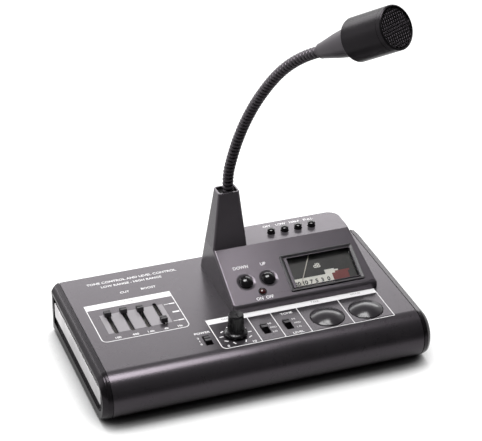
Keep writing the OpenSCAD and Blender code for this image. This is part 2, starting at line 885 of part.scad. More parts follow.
module meter_window() color("lightblue", 0.3) on_meter(glass_w) {
    block(window_w + 2 * glass_edge, window_h + 2 * glass_edge, 0, glass_t);
}

module meter_case() color("black") on_meter(-case_depth) difference() {
    translate([-case_half, case_low, 0]) cube([2 * case_half, case_top - case_low, case_depth - con_wall]);
    translate([-case_half + case_wall, case_low + case_wall, case_wall])
        cube([2 * case_half - 2 * case_wall, case_top - case_low - 2 * case_wall, case_depth]);
}

module meter_dial() color("#202024") on_meter(dial_w) {
    translate([-case_half + case_wall, case_low + case_wall, -dial_t])
        cube([2 * case_half - 2 * case_wall, window_h / 2 - case_low - case_wall + 2, dial_t]);
    for (sx = [-1, 1]) {
        translate([sx * (case_half - case_wall - 2), 0, -case_depth - dial_w + case_wall])
            cylinder(r = 1.6, h = case_depth + dial_w - case_wall - dial_t);
    }
}

magnet_r = 2.6;

module meter_movement() color("silver") on_meter() translate([0, pivot_up, 0]) {
    bar(magnet_r, -case_depth + case_wall, needle_level - run + case_depth - case_wall);
    bar(pin_r, needle_level - run - 0.5, needle_t + run + 0.6);
}

module meter_needle() color("gold") on_meter(needle_level) translate([0, pivot_up, 0]) difference() {
    union() {
        bar(hub_r, 0, needle_t);
        rotate([0, 0, -needle_rest]) translate([-needle_w / 2, -needle_l, 0])
            cube([needle_w, needle_l, needle_t]);
    }
    bar(pin_r + fit, -1, needle_t + 2);
}

// Tower

tower_edge = 2.2;
tower_rear_r = 3;
tower_rim = 1.3;
rim_bevel = 0.4;
sink_w = tower_top_w - 2 * tower_rim;
sink_d = tower_top_d - 2 * tower_rim;
sink_front_r = tower_edge - tower_rim;
sink_rear_r = tower_rear_r - tower_rim;
sink_depth = 4;
bush_flange_t = 1.4;
bush_r = neck_r + 0.55;
bush_l = 18;
bush_nut_h = 3.2;
bush_nut_wall = 1.3;

// The tower's form over a list of heights, each with the margin by which it is drawn in there
module tower_form(levels) {
    function mix(a, b, h) = a + (b - a) * h / tower_h;
    hull() for (level = levels) {
        h = level[0];
        margin = level[1];
        w = mix(tower_w, tower_top_w, h) - 2 * margin;
        d = mix(con_top_d, tower_top_d, h) - 2 * margin;
        x = mix(tower_mid_x, tower_top_x, h);
        y = mix(crease_y + con_top_d / 2, stem_y, h);
        rear_r = mix(con_rear_r, tower_rear_r, h) - margin;
        translate([x, y, con_top_z + h]) linear_extrude(0.01)
            cornered(w, d, max(tower_edge - margin, 0.4), rear_r, $fn = 32);
    }
}

// The sunk field in the tower's top, drawn in by a margin
module sink_form(margin, z0, h) {
    translate([tower_top_x, stem_y, z0]) linear_extrude(h)
        cornered(sink_w - 2 * margin, sink_d - 2 * margin, sink_front_r, sink_rear_r);
}

module stem_tower() color("#3c3c40") difference() {
    tower_form([[0, 0], [tower_h - rim_bevel, 0], [tower_h - 0.01, rim_bevel]]);
    tower_form([[-0.1, tower_wall], [tower_h - tower_cap, tower_wall]]);
    sink_form(0, tower_z - sink_depth, sink_depth + 1);
    translate([stem_x, stem_y, tower_z]) bar(bush_r + fit, -tower_cap - 1, tower_cap);
}

module neck_bush() color("#202022") difference() {
    union() {
        sink_form(run, tower_z - sink_depth, bush_flange_t);
        translate([stem_x, stem_y, tower_z]) bar(bush_r, -bush_l, bush_l - sink_depth + bush_flange_t / 2);
    }
    translate([stem_x, stem_y, tower_z]) bar(shank_r + fit, -bush_l - 1, bush_l + 2);
}

module neck_nut() color("silver") translate([stem_x, stem_y, tower_z - tower_cap]) difference() {
    translate([0, 0, -bush_nut_h]) cylinder(r = bush_r + bush_nut_wall, h = bush_nut_h, $fn = 6);
    bar(bush_r + fit, -bush_nut_h - 1, bush_nut_h + 2);
}

// Gooseneck

// Place in the plane of the bend and elevation of the centre line, at a length s from the tower
function neck_at(s, i = 0, p = [0, 0], e = 90) =
    let (last = i == len(neck_runs) - 1, stop = last || s <= neck_runs[i], m = stop ? s : neck_runs[i])
    let (k = neck_turns[i] / neck_runs[i], e1 = e - k * m)
    let (r = k == 0 ? 0 : 180 / PI / k)
    let (q = p + (k == 0 ? m * [cos(e), sin(e)] : r * [sin(e) - sin(e1), cos(e1) - cos(e)]))
    stop ? [q[0], q[1], e1] : neck_at(s - neck_runs[i], i + 1, q, e1);

// Ring of points round the centre line
function neck_ring(s, r) =
    let (q = neck_at(s), c = [stem_x, stem_y, tower_z] + q[0] * heading + [0, 0, q[1]])
    let (up = -sin(q[2]) * heading + [0, 0, cos(q[2])], side = [heading[1], -heading[0], 0])
    [for (j = [0:neck_sides - 1]) let (a = j * 360 / neck_sides) c + r * (cos(a) * up + sin(a) * side)];

// Triangles between two rings of points
function skin(a, b, n) = [for (j = [0:n - 1]) let (k = (j + 1) % n)
    each [[a * n + j, b * n + j, b * n + k], [a * n + j, b * n + k, a * n + k]]];

// A tube along the gooseneck whose outside follows the rings [s, r], with a plain bore
module swept_tube(rings, bore_r) {
    n = neck_sides;
    count = len(rings);
    steps = 6;
    s0 = rings[0][0];
    s1 = rings[count - 1][0];
    bore = [for (i = [steps:-1:0]) [s0 + (s1 - s0) * i / steps, bore_r]];
    loop = concat(rings, bore);
    points = [for (q = loop) each neck_ring(q[0], q[1])];
    faces = [for (i = [0:len(loop) - 1]) each skin(i, (i + 1) % len(loop), n)];
    polyhedron(points, faces);
}

// Places a piece at a length s along the gooseneck, its axis along the centre line
module at_neck(s) {
    q = neck_at(s);
    translate([stem_x, stem_y, tower_z] + q[0] * heading + [0, 0, q[1]])
        rotate([0, 90 - q[2], neck_heading - 90]) children();
}

// Ribbed tube between two lengths
module ribs(s0, s1) {
    count = round((s1 - s0) / rib_pitch);
    step = (s1 - s0) / count;
    root_r = neck_r - rib_depth;
    swept_tube([for (i = [0:count - 1]) each [[s0 + i * step, root_r], [s0 + (i + 0.5) * step, neck_r]],
        [s1, root_r]], neck_bore / 2);
}

// Ball at the end of a link, on a short stem
module ball_end(s) {
    at_neck(s) difference() {
        union() {
            sphere(ball_r);
            bar(stem_r, -rib_stop - 1, rib_stop + 1);
        }
        bar(neck_bore / 2 - 0.3, -neck_d, 2 * neck_d);
    }
}

// Cup at the start of a link, round the ball of the link below
module cup_start(s) {
    at_neck(s) difference() {
        bar(neck_r, -cup_mouth, cup_mouth + cup_l);
        sphere(cup_r);
        bar(neck_bore / 2 - 0.3, -neck_d, 2 * neck_d);
        translate([0, 0, -cup_mouth - 0.01]) cylinder(r1 = cup_r, r2 = cup_r - 0.9, h = 0.9);
    }
}

function knuckle_s(i) = knuckle_first + (i - 1) * knuckle_pitch;

module neck_root() color("#2c2c2e") {
    at_neck(0) difference() {
        bar(shank_r, -shank_l, shank_l + lap);
        bar(neck_bore / 2 - 0.3, -shank_l - 1, shank_l + 3);
    }
    ribs(0, knuckle_s(1) - rib_stop);
    ball_end(knuckle_s(1));
}

module neck_link(i) color("#2c2c2e") {
    s0 = knuckle_s(i) + cup_l - lap;
    cup_start(knuckle_s(i));
    if (i < knuckle_count) {
        ribs(s0, knuckle_s(i + 1) - rib_stop);
        ball_end(knuckle_s(i + 1));
    }
    if (i == knuckle_count) {
        ribs(s0, neck_len);
        at_neck(neck_len) difference() {
            bar(shank_r, -lap, cone_grip + lap);
            bar(neck_bore / 2 - 0.3, -3, cone_grip + 4);
        }
    }
}

// Head, on the axis of the gooseneck's end

cone_grip = 8;
spigot_r = 6;
spigot_l = 5;
rear_wall = 3;
head_r = head_d / 2;
barrel_l = head_l - rim_l;

module on_head(z = 0) {
    at_neck(neck_len) translate([0, 0, z]) children();
}

module mic_cone() color("#4a4a4e") on_head() difference() {
    rotate_extrude() polygon([[0, 0], [cone_d1 / 2 - 0.4, 0], [cone_d1 / 2, 0.4], [cone_d1 / 2 + 0.2, 2.4],
        [cone_d1 / 2 + (cone_d2 - cone_d1) * 0.28, cone_l * 0.5],
        [cone_d2 / 2 - 0.6, cone_l * 0.86], [cone_d2 / 2, cone_l],
        [spigot_r, cone_l], [spigot_r, cone_l + spigot_l], [0, cone_l + spigot_l]]);
    bar(shank_r + fit, -1, cone_grip + run + 1);
    bar(neck_bore / 2, -1, cone_l + spigot_l + 2);
}

module head_barrel() color("#2a2a2c") on_head(cone_l) difference() {
    rotate_extrude() polygon([[0, 0], [head_r - 1.4, 0], [head_r - 0.4, 0.4], [head_r, 1.4],
        [head_r, barrel_l], [0, barrel_l]]);
    bar(head_r - head_wall, rear_wall, head_l);
    bar(spigot_r + fit, -1, rear_wall + 2);
}

rim_lap = 5;
rim_t = 1.2;

module head_rim() color("#1c1c1e") on_head(cone_l + barrel_l) difference() {
    union() {
        rotate_extrude() polygon([[0, 0], [head_r, 0], [head_r, rim_l - rim_edge],
            [head_r - rim_edge, rim_l], [0, rim_l]]);
        bar(head_r - head_wall - fit, -rim_lap, rim_lap + 1);
    }
    bar(head_r - rim_w, rim_l - 0.6, 2);
    bar(head_r - head_wall - rim_t - fit, -rim_lap - 1, rim_lap + rim_l + 2);
    bar(head_r - rim_w, rim_l - 0.6 - grille_t, grille_t + 2);
}

grille_r = head_r - rim_w - fit;
grille_cells = floor((grille_r - grille_hole) / grille_pitch);

// A perforated disc that sits in the rim
module head_grille() color("#38383a") on_head(cone_l + head_l - 0.6 - grille_t)
    linear_extrude(grille_t) difference() {
    circle(grille_r);
    for (i = [-grille_cells:grille_cells]) {
        for (j = [-grille_cells:grille_cells]) {
            p = grille_pitch * [i, j];
            if (norm(p) + grille_hole / 2 < grille_r - 1.1) {
                translate(p) circle(d = grille_hole, $fn = 24);
            }
        }
    }
}

capsule_l = 12;
capsule_back = 9;

module mic_capsule() color("silver") on_head(cone_l + head_l - capsule_back - capsule_l) {
    rotate_extrude() polygon([[0, 0], [capsule_d / 2 - 1, 0], [capsule_d / 2, 1],
        [capsule_d / 2, capsule_l], [0, capsule_l]]);
}

module capsule_mount() color("black") on_head(cone_l + head_l - capsule_back - capsule_l) difference() {
    bar(head_r - head_wall - fit, 1.4, capsule_l - 4);
    bar(capsule_d / 2 + fit, 0, capsule_l);
}

top_cover();
base_plate();
rear_panel();
left_end_cap();
right_end_cap();
left_trim();
right_trim();
feet();
console_housing();
stem_tower();
neck_bush();
neck_nut();
neck_root();
neck_link(1);  // neck_link_1
neck_link(2);  // neck_link_2
neck_link(3);  // neck_link_3
neck_link(4);  // neck_link_4
neck_link(5);  // neck_link_5
mic_cone();
head_barrel();
head_rim();
head_grille();
mic_capsule();
capsule_mount();
meter_bezel();
meter_window();
meter_dial();
meter_case();
meter_movement();
meter_needle();
power_lamp();
down_key();
up_key();
key_board();
key_switches();
small_key(0);  // small_key_1
small_key(1);  // small_key_2
small_key(2);  // small_key_3
small_key(3);  // small_key_4
small_key_board();
small_key_switches();
gain_knob();
gain_shaft();
gain_pot();
fader_knob(0);  // fader_knob_1
fader_knob(1);  // fader_knob_2
fader_knob(2);  // fader_knob_3
fader_knob(3);  // fader_knob_4
fader_bodies();
switch_lever(0);  // switch_lever_1
switch_lever(1);  // switch_lever_2
switch_lever(2);  // switch_lever_3
switch_bodies();
talk_button();
hold_button();
talk_switches();
main_board();
mic_socket();
power_jack();
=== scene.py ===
import json
import math
import bmesh
import bpy
from mathutils import Matrix, Vector

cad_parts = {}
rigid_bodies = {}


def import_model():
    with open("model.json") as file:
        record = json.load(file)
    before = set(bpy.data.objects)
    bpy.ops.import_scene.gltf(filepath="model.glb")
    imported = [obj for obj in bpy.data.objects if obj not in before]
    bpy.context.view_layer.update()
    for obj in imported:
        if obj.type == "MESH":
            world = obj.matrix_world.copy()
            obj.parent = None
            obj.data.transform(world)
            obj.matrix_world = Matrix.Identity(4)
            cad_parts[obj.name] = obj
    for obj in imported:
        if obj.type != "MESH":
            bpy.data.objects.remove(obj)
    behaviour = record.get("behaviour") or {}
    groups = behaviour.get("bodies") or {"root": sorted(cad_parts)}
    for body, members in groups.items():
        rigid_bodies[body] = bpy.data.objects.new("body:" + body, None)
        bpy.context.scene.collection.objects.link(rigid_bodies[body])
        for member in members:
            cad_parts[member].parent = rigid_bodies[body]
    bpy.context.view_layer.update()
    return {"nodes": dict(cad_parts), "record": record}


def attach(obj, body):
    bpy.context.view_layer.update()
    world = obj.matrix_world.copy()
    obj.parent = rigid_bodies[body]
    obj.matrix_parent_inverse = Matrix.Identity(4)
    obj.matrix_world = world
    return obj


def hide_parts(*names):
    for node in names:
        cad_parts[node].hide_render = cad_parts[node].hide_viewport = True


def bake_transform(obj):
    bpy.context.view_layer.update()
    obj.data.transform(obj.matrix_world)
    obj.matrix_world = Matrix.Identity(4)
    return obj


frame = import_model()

nodes = frame["nodes"]
NODE_SLOT = {part["node"]: part["material_slot"] for part in frame["record"]["subparts"]}
MM = 0.001
# Points closer than this, in metres, become one
WELD = 2e-6

# Places and sizes of the CAD part in millimetres, and its angles
COVER_TOP = 40.0
CONSOLE_TOP = 69.4
PANEL_SLOPE = math.radians(26.7)
PANEL_CORNER = Vector((-10.4, -4.0666, 46.3))
SLIDER_X = [-98.5 + 12.4 * i for i in range(4)]
GAIN_KNOB = (-17.5, -29.07)
LAMP = (26.2, 9.3)
DIAL_X, DIAL_DEPTH = 77.8, -4.2
NECK_FOOT = Vector((5.4658, 52.6627, 115.0))
NECK_HEADING = Vector((0.46947, -0.88295, 0.0))
NECK_RUNS = [5.0, 13.7025, 62.5275, 36.0675, 45.2025, 8.0]
NECK_BEND = 60.0
NECK_TURNS = [NECK_BEND * share for share in (0.0, 0.234, 0.257, 0.154, 0.355, 0.0)]
NECK_LENGTH = sum(NECK_RUNS)
NECK_R = 4.25
KNUCKLES = [20.0 + 33.875 * i for i in range(5)]
GRILLE_ALONG = 72.4


class Wire:
    """One output of a node, used in sums as a number is."""

    def __init__(self, owner, socket):
        self.owner = owner
        self.socket = socket

    def maths(self, operation, *values):
        return self.owner.node("ShaderNodeMath", {"operation": operation}, dict(enumerate(values)))

    def __add__(self, other):
        return self.maths("ADD", self, other)

    def __radd__(self, other):
        return self.maths("ADD", other, self)

    def __sub__(self, other):
        return self.maths("SUBTRACT", self, other)

    def __rsub__(self, other):
        return self.maths("SUBTRACT", other, self)

    def __mul__(self, other):
        return self.maths("MULTIPLY", self, other)

    def __rmul__(self, other):
        return self.maths("MULTIPLY", other, self)


class Nodes:
    """A tree of shader nodes, whose sockets take numbers or wires."""

    def __init__(self, tree):
        self.tree = tree

    def put(self, value, socket):
        """Links a wire to a socket, or sets its value."""
        if isinstance(value, Wire):
            self.tree.links.new(value.socket, socket)
        else:
            socket.default_value = value

    def node(self, kind, settings=None, inputs=None, output=0):
        """Adds a node with its settings and inputs, and gives one of its outputs."""
        made = self.tree.nodes.new(kind)
        for key, value in (settings or {}).items():
            setattr(made, key, value)
        for key, value in (inputs or {}).items():
            self.put(value, made.inputs[key])
        return Wire(self, made.outputs[output])

    def place(self, stretch=(1, 1, 1)):
        """Where a point is on the part."""
        here = self.node("ShaderNodeTexCoord", output="Object")
        return self.node("ShaderNodeMapping", {}, {"Vector": here, "Scale": stretch})

    def noise(self, size, detail, rough=0.5, stretch=(1, 1, 1)):
        """Clouds of a size in millimetres."""
        return self.node("ShaderNodeTexNoise", {}, {"Vector": self.place(stretch),
            "Scale": 1 / (size * MM), "Detail": detail, "Roughness": rough})

    def ramp(self, value, low, high, to_low=0.0, to_high=1.0):
        return self.node("ShaderNodeMapRange", {"interpolation_type": "SMOOTHSTEP"}, {"Value": value,
            "From Min": low, "From Max": high, "To Min": to_low, "To Max": to_high})

    def mix(self, factor, a, b):
        return self.node("ShaderNodeMix", {"data_type": "RGBA"}, {0: factor, 6: a, 7: b}, 2)

    def bump(self, height, depth):
        """A surface raised by up to a depth in millimetres."""
        return self.node("ShaderNodeBump", {}, {"Height": height, "Distance": depth * MM, "Strength": 1.0})

    def ray(self, kind):
        """One for rays of a kind, such as Camera, and nought for others."""
        return self.node("ShaderNodeLightPath", output="Is %s Ray" % kind)


class Paint(Nodes):
    """A material with one principled shader."""

    def __init__(self, name, **values):
        self.material = bpy.data.materials.new(name)
        self.material.use_nodes = True
        super().__init__(self.material.node_tree)
        self.shader = self.tree.nodes["Principled BSDF"]
        self.give(**values)

    def give(self, **values):
        for key, value in values.items():
            self.put(value, self.shader.inputs[key.replace("_", " ")])
        return self


def grey(level, tint=(1.0, 1.0, 1.0)):
    """A grey, or a tinted grey."""
    return tuple(level * share for share in tint) + (1.0,)


def dimmed(colour, share):
    return tuple(c * share for c in colour[:3]) + (1.0,)


# Tints of the dark paint and plastic, and of their shine
PLUM = (1.0, 0.91, 1.02)
PLAIN_SHINE = (1.0, 1.0, 1.0, 1.0)
PLUM_SHINE = (1.0, 0.88, 1.0, 1.0)
# Sizes of the clouds in the looks, in millimetres
TONE_CLOUD, RUB_CLOUD, STAIN_CLOUD, SMEAR_CLOUD = 26.0, 7.0, 14.0, 9.0
LAMP_CLOUD, BOARD_CLOUD, INK_CLOUD, FLOOR_CLOUD = 1.4, 4.0, 1.1, 40.0


def coated(slot, dark, light, rough, grain, depth, shine=0.5, shine_tint=PLAIN_SHINE, tint=PLUM):
    """Paint or moulded plastic: two greys, and a grain of a size and depth in millimetres."""
    paint = Paint(slot + "_look", Specular_IOR_Level=shine, Specular_Tint=shine_tint)
    fine = paint.noise(grain, 2.0)
    slow = paint.noise(TONE_CLOUD, 4.0)
    rub = paint.noise(RUB_CLOUD, 5.0, 0.65)
    return paint.give(
        Base_Color=paint.mix(paint.ramp(slow, 0.3, 0.7), grey(dark, tint), grey(light, tint)),
        Roughness=rough + 0.03 * (rub - 0.5) + 0.03 * (fine - 0.5),
        Normal=paint.bump(fine, depth))


def metal(slot, colour, rough, stretch, size=0.5, depth=0.004):
    """Bare metal with lines along one way."""
    paint = Paint(slot + "_look", Metallic=1.0)
    lines = paint.noise(size, 4.0, 0.6, stretch)
    stain = paint.noise(STAIN_CLOUD, 4.0)
    return paint.give(
        Base_Color=paint.mix(paint.ramp(stain, 0.35, 0.75), colour, dimmed(colour, 0.82)),
        Roughness=rough + 0.16 * (lines - 0.5) + 0.08 * (stain - 0.5),
        Normal=paint.bump(lines, depth))


def meter_glass():
    """Clear, with faint smears."""
    paint = Paint("meter_glass_look", Specular_IOR_Level=0.7)
    smear = paint.ramp(paint.noise(SMEAR_CLOUD, 4.0), 0.4, 0.8)
    return paint.give(Base_Color=paint.mix(smear, grey(0.02), grey(0.06)),
        Alpha=0.10 + 0.04 * smear, Roughness=0.03 + 0.05 * smear)


def lamp_red():
    """Dark red plastic of a lamp that is off."""
    paint = Paint("lamp_red_look", Coat_Weight=0.4)
    cloud = paint.noise(LAMP_CLOUD, 2.0)
    return paint.give(Base_Color=paint.mix(cloud, (0.022, 0.004, 0.005, 1.0), (0.06, 0.007, 0.008, 1.0)),
        Roughness=0.16 + 0.1 * cloud)


def board_green():
    """Lacquer of the circuit boards."""
    paint = Paint("board_green_look")
    cloud = paint.noise(BOARD_CLOUD, 3.0)
    return paint.give(Base_Color=paint.mix(cloud, (0.012, 0.07, 0.03, 1.0), (0.02, 0.11, 0.045, 1.0)),
        Roughness=0.4 + 0.2 * (cloud - 0.5))


def ink(name, colour):
    """Screen print, slightly uneven."""
    paint = Paint(name)
    patch = paint.noise(INK_CLOUD, 3.0)
    return paint.give(Base_Color=paint.mix(paint.ramp(patch, 0.25, 0.55), dimmed(colour, 0.94), colour),
        Roughness=0.5 + 0.2 * (patch - 0.5))


# Dark and light grey, roughness, size and depth of the grain, and what differs in the shine or the tint
COATS = {
    "cover_paint": (0.023, 0.027, 0.28, 0.35, 0.003, 0.62, PLUM_SHINE),
    "plate_paint": (0.045, 0.06, 0.5, 0.35, 0.012),
    "cap_plastic": (0.009, 0.012, 0.22, 0.3, 0.002, 0.24, PLUM_SHINE),
    "rubber": (0.012, 0.02, 0.75, 0.5, 0.03),
    "console_plastic": (0.054, 0.062, 0.26, 0.35, 0.004, 0.62, PLUM_SHINE),
    "neck_coat": (0.034, 0.044, 0.34, 0.3, 0.003, 0.6, PLUM_SHINE),
    "black_plastic": (0.010, 0.016, 0.38, 0.3, 0.006),
    "head_plastic": (0.007, 0.010, 0.30, 0.3, 0.003, 0.17, PLUM_SHINE),
    "grille_metal": (0.010, 0.016, 0.45, 0.3, 0.004, 0.3, PLUM_SHINE),
    "gloss_black": (0.008, 0.012, 0.16, 0.4, 0.002),
    "dial_print": (0.010, 0.020, 0.5, 0.3, 0.004, 0.5, PLAIN_SHINE, (1.0, 0.92, 0.80)),
    "needle_paint": (0.5, 0.6, 0.4, 0.3, 0.003, 0.5, PLAIN_SHINE, (1.0, 0.93, 0.82)),
    "switch_plastic": (0.03, 0.045, 0.45, 0.3, 0.006),
    "button_plastic": (0.030, 0.036, 0.20, 0.4, 0.002, 0.36),
    "bezel_plastic": (0.034, 0.040, 0.34, 0.35, 0.004),
    "cone_plastic": (0.036, 0.044, 0.34, 0.3, 0.003, 0.6, PLUM_SHINE),
    "knob_plastic": (0.008, 0.012, 0.24, 0.4, 0.003, 0.35),
}
# Colour, roughness and stretch of the lines, and their size and depth where they differ
METALS = {
    "trim_metal": ((0.86, 0.84, 0.85, 1.0), 0.36, (1.0, 0.05, 1.0)),
    "steel": ((0.56, 0.55, 0.54, 1.0), 0.32, (1.0, 1.0, 0.1)),
    "socket_chrome": ((0.72, 0.72, 0.73, 1.0), 0.16, (1.0, 0.1, 1.0), 0.8, 0.002),
    "capsule_metal": ((0.66, 0.62, 0.52, 1.0), 0.3, (1.0, 1.0, 1.0)),
}
INKS = {
    "ink_white": (0.80, 0.79, 0.80, 1.0),
    "ink_pale": (0.25, 0.235, 0.25, 1.0),
    "ink_red": (0.17, 0.022, 0.02, 1.0),
    "ink_cream": (0.80, 0.79, 0.72, 1.0),
    "ink_black": (0.012, 0.011, 0.011, 1.0),
}
LOOKS = {"meter_glass": meter_glass(), "lamp_red": lamp_red(), "board_green": board_green()}
LOOKS.update({slot: coated(slot, *values) for slot, values in COATS.items()})
LOOKS.update({slot: metal(slot, *values) for slot, values in METALS.items()})
LOOKS.update({name: ink(name, colour) for name, colour in INKS.items()})

for name, cad in nodes.items():
    cad.data.materials.clear()
    cad.data.materials.append(LOOKS[NODE_SLOT[name]].material)


def begin():
    """Object mode, nothing selected."""
    if bpy.context.mode != "OBJECT":
        bpy.ops.object.mode_set(mode="OBJECT")
    bpy.ops.object.select_all(action="DESELECT")


def pick(thing):
    """Selects one object alone."""
    begin()
    thing.select_set(True)
    bpy.context.view_layer.objects.active = thing


def edit(thing):
    """Edit mode on one object, all of it selected."""
    pick(thing)
    bpy.ops.object.mode_set(mode="EDIT")
    bpy.ops.mesh.select_all(action="SELECT")


def weld(thing, turn_out=False):
    """Merges points that meet, and turns the faces outwards where that is asked for."""
    edit(thing)
    bpy.ops.mesh.remove_doubles(threshold=WELD)
    if turn_out:
        bpy.ops.mesh.normals_make_consistent(inside=False)
    begin()


def modify(thing, kind, **settings):
    """Adds a modifier and applies it."""
    pick(thing)
    made = thing.modifiers.new(kind, kind)
    for key, value in settings.items():
        setattr(made, key, value)
    bpy.ops.object.modifier_apply(modifier=made.name)


def done(thing, name, look, smooth):
    """Names and paints a finished mesh, puts its place into its points and smooths it up to an angle."""
    pick(thing)
    bpy.ops.object.transform_apply(location=True, rotation=True, scale=True)
    thing.name = name
    thing.data.name = name
    thing.data.materials.clear()
    thing.data.materials.append(LOOKS[look].material)
    bpy.ops.object.shade_smooth_by_angle(angle=math.radians(smooth))


# Rounding of the panel's outer edges, and the bands along its sides and front in which these lie
PANEL_ROUND = 1.6
LEFT_BAND, RIGHT_BAND, FRONT_BAND = 6.0, 109.0, 3.5
# How far off the panel's plane such an edge may be, and how the two faces beside it lie to that plane
OFF_PLANE = 0.02
ON_PLANE_FACE, SIDE_FACE = 0.999, 0.7
# Points at the rounded corners closer than this, in metres, become one
CORNER_WELD = 5e-5
# Faces that differ by less than this, in degrees, become one
FLAT_ANGLE = 0.6


def ease_panel(thing):
    """Rounds the outer edges of the sloped panel, apart from its crease."""
    edit(thing)
    shape = bmesh.from_edit_mesh(thing.data)
    weight = shape.edges.layers.float.new("bevel_weight_edge")
    out = Vector((0, -math.sin(PANEL_SLOPE), math.cos(PANEL_SLOPE)))
    for edge in shape.edges:
        spots = [v.co / MM - PANEL_CORNER for v in edge.verts]
        facing = sorted(face.normal.dot(out) for face in edge.link_faces)
        middle = (spots[0] + spots[1]) / 2
        flush = max(abs(spot.dot(out)) for spot in spots) < OFF_PLANE
        outer = (middle.x < LEFT_BAND or middle.x > RIGHT_BAND
            or middle.y / math.cos(PANEL_SLOPE) < FRONT_BAND)
        if flush and outer and facing[0] < SIDE_FACE and facing[-1] > ON_PLANE_FACE:
            edge[weight] = 1.0
    bmesh.update_edit_mesh(thing.data)
    begin()
    modify(thing, "BEVEL", width=PANEL_ROUND * MM, segments=6, limit_method="WEIGHT",
        use_clamp_overlap=False, loop_slide=False)
    edit(thing)
    bpy.ops.mesh.remove_doubles(threshold=CORNER_WELD)
    begin()


def dress(node, body, width=0.2, segments=2, angle=36.0, smooth=38.0, ease=None, look=None):
    """A copy of a CAD node, its sharp edges eased by a width in millimetres."""
    thing = bpy.data.objects.new(node + "_piece", nodes[node].data.copy())
    bpy.context.scene.collection.objects.link(thing)
    edit(thing)
    bpy.ops.mesh.customdata_custom_splitnormals_clear()
    bpy.ops.mesh.remove_doubles(threshold=WELD)
    bpy.ops.mesh.dissolve_limited(angle_limit=math.radians(FLAT_ANGLE))
    begin()
    if ease:
        ease(thing)
    if width:
        modify(thing, "BEVEL", width=width * MM, segments=segments, limit_method="ANGLE",
            angle_limit=math.radians(angle), use_clamp_overlap=True, miter_outer="MITER_ARC")
    done(thing, node + "_piece", look or NODE_SLOT[node], smooth)
    modify(thing, "WEIGHTED_NORMAL", keep_sharp=True)
    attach(thing, body)
    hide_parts(node)


dress("console_housing", "base", width=0.0, smooth=22.0, ease=ease_panel)
dress("stem_tower", "base", width=0.5, segments=3, angle=20.0, smooth=22.0)
for side in ("left", "right"):
    dress(side + "_end_cap", "base", width=0.6, segments=3)
dress("top_cover", "base", width=0.12)
dress("meter_bezel", "base", look="bezel_plastic")
for node in ("left_trim", "right_trim", "neck_bush"):
    dress(node, "base")
dress("power_lamp", "base", width=0.0)
dress("gain_knob", "gain", width=0.25, look="knob_plastic")
for i in range(1, 5):
    dress("fader_knob_%d" % i, "fader_%d" % i)
    dress("small_key_%d" % i, "small_key_%d" % i)
for i in range(1, 4):
    dress("switch_lever_%d" % i, "switch_%d" % i)
for key in ("talk", "hold"):
    dress(key + "_button", key, width=0.35, segments=3, look="button_plastic")
for key in ("down_key", "up_key"):
    dress(key, key)
dress("mic_cone", "neck_5", width=0.25, segments=3, look="cone_plastic")
for node in ("head_barrel", "head_rim"):
    dress(node, "neck_5", width=0.25, segments=3)


def chain(points):
    """Draws a line of edges by pulling one point along, in millimetres."""
    begin()
    bpy.ops.mesh.primitive_plane_add(size=MM)
    bpy.ops.object.mode_set(mode="EDIT")
    bpy.ops.mesh.select_all(action="SELECT")
    bpy.ops.mesh.merge(type="CENTER")
    bpy.ops.transform.translate(value=Vector(points[0]) * MM)
    for a, b in zip(points, points[1:]):
        bpy.ops.mesh.extrude_region_move(TRANSFORM_OT_translate={"value": (Vector(b) - Vector(a)) * MM})
    begin()
    return bpy.context.object


def neck_point(along):
    """Place of the gooseneck's centre line and its elevation, at a length from the tower."""
    across, up, rise = 0.0, 0.0, math.radians(90)
    for i, (run, turn) in enumerate(zip(NECK_RUNS, NECK_TURNS)):
        here = i == len(NECK_RUNS) - 1 or along <= run
        step = along if here else run
        bend = math.radians(turn) / run
        next_rise = rise - bend * step
        if bend:
            across += (math.sin(rise) - math.sin(next_rise)) / bend
            up += (math.cos(next_rise) - math.cos(rise)) / bend
        else:
            across += step * math.cos(rise)
            up += step * math.sin(rise)
        rise = next_rise
        if here:
            break
        along -= run
    return NECK_FOOT + NECK_HEADING * across + Vector((0, 0, up)), rise


# The gooseneck's wound wire: one coil for each knuckle, with a turn more at both ends of the neck
COIL_TURNS = [10, 10, 11, 10, 10]
PITCH = NECK_LENGTH / sum(COIL_TURNS)
GROOVE = 1.1
# Length of the path past both ends, and half a length about each knuckle, at which points of the centre
# line are found and not used
LEAD_IN = 6.0
HALF_BEND = 13.0
# Steps along the path, over the outline of a turn and round a turn
PATH_STEPS, ARC_STEPS, ROUND_STEPS = 240, 10, 20


def neck_path():
    """The centre line as a curve, a little longer than the neck at both ends."""
    curve = bpy.data.curves.new("neck_path", "CURVE")
    curve.dimensions = "3D"
    curve.twist_mode = "MINIMUM"
    line = curve.splines.new("POLY")
    line.points.add(PATH_STEPS)
    for i, point in enumerate(line.points):
        along = -LEAD_IN + (NECK_LENGTH + 2 * LEAD_IN) * i / PATH_STEPS
        point.co = (neck_point(along)[0] * MM).to_4d()
    thing = bpy.data.objects.new("neck_path", curve)
    bpy.context.scene.collection.objects.link(thing)
    return thing


def coil_outline(start):
    """Half round outline of one turn of the wire."""
    arc = [math.pi * i / ARC_STEPS for i in range(ARC_STEPS + 1)]
    return [(NECK_R - GROOVE * (1 - math.sin(a)), 0, start + PITCH * (1 - math.cos(a)) / 2) for a in arc]


